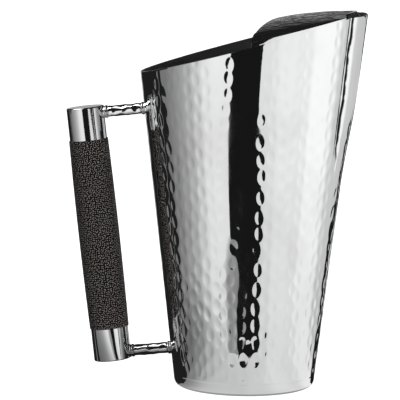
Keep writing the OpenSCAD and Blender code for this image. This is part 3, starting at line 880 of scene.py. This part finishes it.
BACK_CARD = (
    (44.5, 2), (54, 4), (72, 33), (107, 80), (140, 171), (231, 273), (318, 415), (342, 520), (335, 640),
    (375, 760), (480, 960), (305, 980), (265, 800), (191, 720), (190, 640), (207, 473), (143, 325),
    (72, 200), (60, 140), (71, 109), (52, 50), (44, 18),
)
FAR_BACK_CARD = ((950, 1650), (4200, 5200), (2000, 6800), (700, 1800))
EDGE_CARD = (
    (20, 120), (32, 120), (48, 223), (95, 640), (200, 900), (345, 1460), (-110, 1460), (-40, 900),
    (20, 500), (20, 223),
)
FAR_EDGE_CARD = ((430, 1850), (640, 2500), (3200, 12000), (-1200, 12000), (-300, 2700), (-180, 1850))


FOOT_CARD_R = 46.6
FOOT_TURNS = [math.radians(t) for t in range(0, 360, 5)]
FOOT_CARD = [(FOOT_CARD_R * math.cos(turn), FOOT_CARD_R * math.sin(turn)) for turn in FOOT_TURNS]
# Each card with its level and its height over the table in millimetres. The slit is a strip of
# light across the left card, and the foot card is the shade under the pan's round edge.
CARDS = {
    "front_card": (FRONT_CARD, 0.009, 0.6),
    "left_card": (LEFT_CARD, 0.014, 0.4),
    "slit_card": (SLIT_CARD, 0.22, 0.5),
    "foot_card": (FOOT_CARD, 0.34, 0.05),
    "back_card": (BACK_CARD, 0.012, 0.4),
    "far_back_card": (FAR_BACK_CARD, 0.012, 0.4),
    "edge_card": (EDGE_CARD, 0.03, 0.3),
    "far_edge_card": (FAR_EDGE_CARD, 0.03, 0.3),
}


def glow(name, level):
    """A plain emission of one grey level."""
    material, tree, shader = new_material(name)
    tree.nodes.remove(shader)
    light = add(tree, "ShaderNodeEmission")
    light.inputs["Color"].default_value = (level, level, level, 1)
    tree.links.new(light.outputs[0], tree.nodes["Material Output"].inputs["Surface"])
    return material


def lay_flat(name, corners, material):
    """A flat sheet of the studio."""
    mesh = bpy.data.meshes.new(name)
    mesh.from_pydata(corners, [], [list(range(len(corners)))])
    mesh.materials.append(material)
    sheet = bpy.data.objects.new(name, mesh)
    bpy.context.scene.collection.objects.link(sheet)
    return sheet


def lay_card(name, outline, level, height):
    """A card on the table, seen only in reflections."""
    corners = [(x * MM, y * MM, height * MM) for x, y in outline]
    card = lay_flat(name, corners, glow(name, level))
    card.visible_camera = False
    card.visible_diffuse = False
    card.visible_shadow = False


def choose(tree, mask, first, second):
    """Shows the second shader where the mask is one, and the first elsewhere."""
    node = add(tree, "ShaderNodeMixShader")
    for place, outlet in enumerate((mask, first, second)):
        tree.links.new(outlet, node.inputs[place])
    return node.outputs[0]


def table_material():
    """Matt white paper that glows for the camera, and that metal sees as a graded light."""
    material, tree, shader = new_material("white_table")
    tree.nodes.remove(shader)
    paper = add(tree, "ShaderNodeBsdfDiffuse")
    paper.inputs["Color"].default_value = (*TABLE_WHITE, 1)
    lift = add(tree, "ShaderNodeEmission")
    lift.inputs["Strength"].default_value = TABLE_LIFT
    seen = add(tree, "ShaderNodeAddShader")
    tree.links.new(paper.outputs[0], seen.inputs[0])
    tree.links.new(lift.outputs[0], seen.inputs[1])
    position = add(tree, "ShaderNodeNewGeometry").outputs["Position"]
    across = measures(tree, position)
    direction = maths(tree, "ARCTAN2", across["X"], maths(tree, "MULTIPLY", across["Y"], -1))
    turn = maths(tree, "ADD", maths(tree, "DIVIDE", direction, 2 * math.pi), 0.5)
    graded = ramp(tree, turn, [(angle / 360 + 0.5, level) for angle, level in TABLE_LEVELS], "CARDINAL")
    far = add(tree, "ShaderNodeVectorMath", operation="LENGTH")
    tree.links.new(position, far.inputs[0])
    strength = spread(tree, far.outputs["Value"], 0.1, 0.8, NEAR_LEVEL, FAR_LEVEL)
    shaded = add(tree, "ShaderNodeVectorMath", operation="DISTANCE")
    shaded.inputs[1].default_value = HANDLE_SHADE
    tree.links.new(position, shaded.inputs[0])
    shade = spread(tree, shaded.outputs["Value"], 0.03, 0.16, SHADE_LEVEL, 1)
    strength = maths(tree, "MULTIPLY", strength, shade)
    mirrored = add(tree, "ShaderNodeEmission")
    tree.links.new(graded, mirrored.inputs["Color"])
    tree.links.new(strength, mirrored.inputs["Strength"])
    path = add(tree, "ShaderNodeLightPath").outputs
    shown = choose(tree, path["Is Camera Ray"], paper.outputs[0], seen.outputs[0])
    shown = choose(tree, path["Is Glossy Ray"], shown, mirrored.outputs[0])
    tree.links.new(shown, tree.nodes["Material Output"].inputs["Surface"])
    return material


turns = [2 * math.pi * step / TABLE_STEPS for step in range(TABLE_STEPS)]
table_ring = [(TABLE_R * math.cos(turn), TABLE_R * math.sin(turn), 0) for turn in turns]
lay_flat("white_table", table_ring, table_material())
# Painted shadow on the table in front of the base, as grey cards seen only in reflections.
for step, (width, level) in enumerate(PAINTED_SHADOW_STEPS):
    lay_card(f"grey_card_{step}", [(x * width, y) for x, y in PAINTED_SHADOW_CARD], level, 0.1 + 0.05 * step)
for card_name, card in CARDS.items():
    lay_card(card_name, *card)

# Height in the backdrop, as the rise of the line of sight, with the level seen there.
BACK_LEVELS = (
    (0.0, 0.68), (0.035, 0.60), (0.07, 0.38), (0.113, 0.21), (0.156, 0.11), (0.24, 0.06), (0.34, 0.035),
    (0.5, 0.015), (1.0, 0.010),
)
FRONT_LEVEL = 0.012
ROOM_LIGHT = 0.55


def light_room():
    """White for the camera, an even light for matt faces, and for metal a bright backdrop that
    fades upward, with the dark room on the camera's side."""
    world = bpy.data.worlds.new("studio")
    bpy.context.scene.world = world
    world.use_nodes = True
    tree = world.node_tree
    tree.nodes.clear()
    line = measures(tree, add(tree, "ShaderNodeTexCoord").outputs["Generated"])
    backdrop = ramp(tree, line["Z"], BACK_LEVELS)
    behind = spread(tree, line["Y"], -0.1, 0.2, 0, 1)
    behind = maths(tree, "MULTIPLY", behind, spread(tree, line["X"], -0.5, -0.12, 0.12, 1))
    behind = maths(tree, "MULTIPLY", behind, spread(tree, line["X"], 0.35, 0.55, 1, 0.08))
    mirrored = blend(tree, behind, (FRONT_LEVEL,) * 3, backdrop)
    path = add(tree, "ShaderNodeLightPath").outputs
    seen = blend(tree, path["Is Glossy Ray"], (ROOM_LIGHT,) * 3, mirrored)
    seen = blend(tree, path["Is Camera Ray"], seen, (1, 1, 1))
    background = add(tree, "ShaderNodeBackground")
    tree.links.new(seen, background.inputs["Color"])
    output = add(tree, "ShaderNodeOutputWorld")
    tree.links.new(background.outputs[0], output.inputs["Surface"])


def hang_softbox(name, place, aim, width, height, power, only_on=()):
    """A rectangular lamp. Flags can keep it off all but some objects."""
    lamp = bpy.data.lights.new(name, "AREA")
    lamp.shape = "RECTANGLE"
    lamp.size, lamp.size_y = width, height
    lamp.energy = power
    softbox = bpy.data.objects.new(name, lamp)
    softbox.location = place
    softbox.rotation_euler = (Vector(aim) - Vector(place)).to_track_quat("-Z", "Y").to_euler()
    bpy.context.scene.collection.objects.link(softbox)
    if only_on:
        lit = bpy.data.collections.new(f"lit_by_{name}")
        for thing in only_on:
            lit.objects.link(thing)
        softbox.light_linking.receiver_collection = lit
    return softbox


light_room()
handle_metal = [
    thing for thing in bpy.data.objects if any(word in thing.name for word in ("strut", "tube", "bead"))
]
grip = [bpy.data.objects["leather_wrap"]]
hang_softbox("softbox_over_handle", (-0.75, -0.35, 1.0), (-0.08, 0, 0.12), 0.9, 0.9, 9, handle_metal)
# These light what is matt, and metal doesn't show them. The last two, in front of the handle
# and behind it, bring out the grain of the leather.
for softbox in (
    hang_softbox("softbox_front", (0.25, -1.6, 1.1), (0, 0, 0.12), 1.2, 0.8, 14),
    hang_softbox("softbox_on_grip", (0.85, -0.95, 0.3), (-0.1, 0, 0.11), 0.35, 0.35, 11, grip),
    hang_softbox("softbox_behind_grip", (-0.05, 1.35, 0.35), (-0.1, 0, 0.11), 0.35, 0.35, 11, grip),
):
    softbox.visible_glossy = False

# Camera. A long lens, a good two metres away and eight degrees above the level of the pitcher.
# It stands eight degrees towards the lip's side and leans by less than one.
AIM = Vector((0, 0, 110 * MM))
CAMERA_TURN, CAMERA_RISE, CAMERA_ROLL = math.radians(8), math.radians(8), math.radians(0.76)
CAMERA_FAR = 2.167
FOCAL_PIXELS, PICTURE_PIXELS = 3206.65, 400
AIM_PIXEL = (246.05, 224.11)
SENSOR = 36


def place_camera():
    """Places the camera so that its aim falls on a chosen pixel."""
    back = Vector((
        math.sin(CAMERA_TURN) * math.cos(CAMERA_RISE),
        -math.cos(CAMERA_TURN) * math.cos(CAMERA_RISE),
        math.sin(CAMERA_RISE),
    ))
    level = Vector((math.cos(CAMERA_TURN), math.sin(CAMERA_TURN), 0))
    upward = back.cross(level)
    right = level * math.cos(CAMERA_ROLL) + upward * math.sin(CAMERA_ROLL)
    data = bpy.data.cameras.new("camera")
    data.sensor_width = SENSOR
    data.lens = FOCAL_PIXELS / PICTURE_PIXELS * SENSOR
    data.shift_x = -(AIM_PIXEL[0] - PICTURE_PIXELS / 2) / PICTURE_PIXELS
    data.shift_y = (AIM_PIXEL[1] - PICTURE_PIXELS / 2) / PICTURE_PIXELS
    data.clip_end = 50
    camera = bpy.data.objects.new("camera", data)
    turn = Matrix((right, back.cross(right), back)).transposed()
    camera.matrix_world = Matrix.Translation(AIM + back * CAMERA_FAR) @ turn.to_4x4()
    bpy.context.scene.collection.objects.link(camera)
    bpy.context.scene.camera = camera


place_camera()
bpy.context.scene.view_settings.view_transform = "Standard"

bpy.context.view_layer.update()
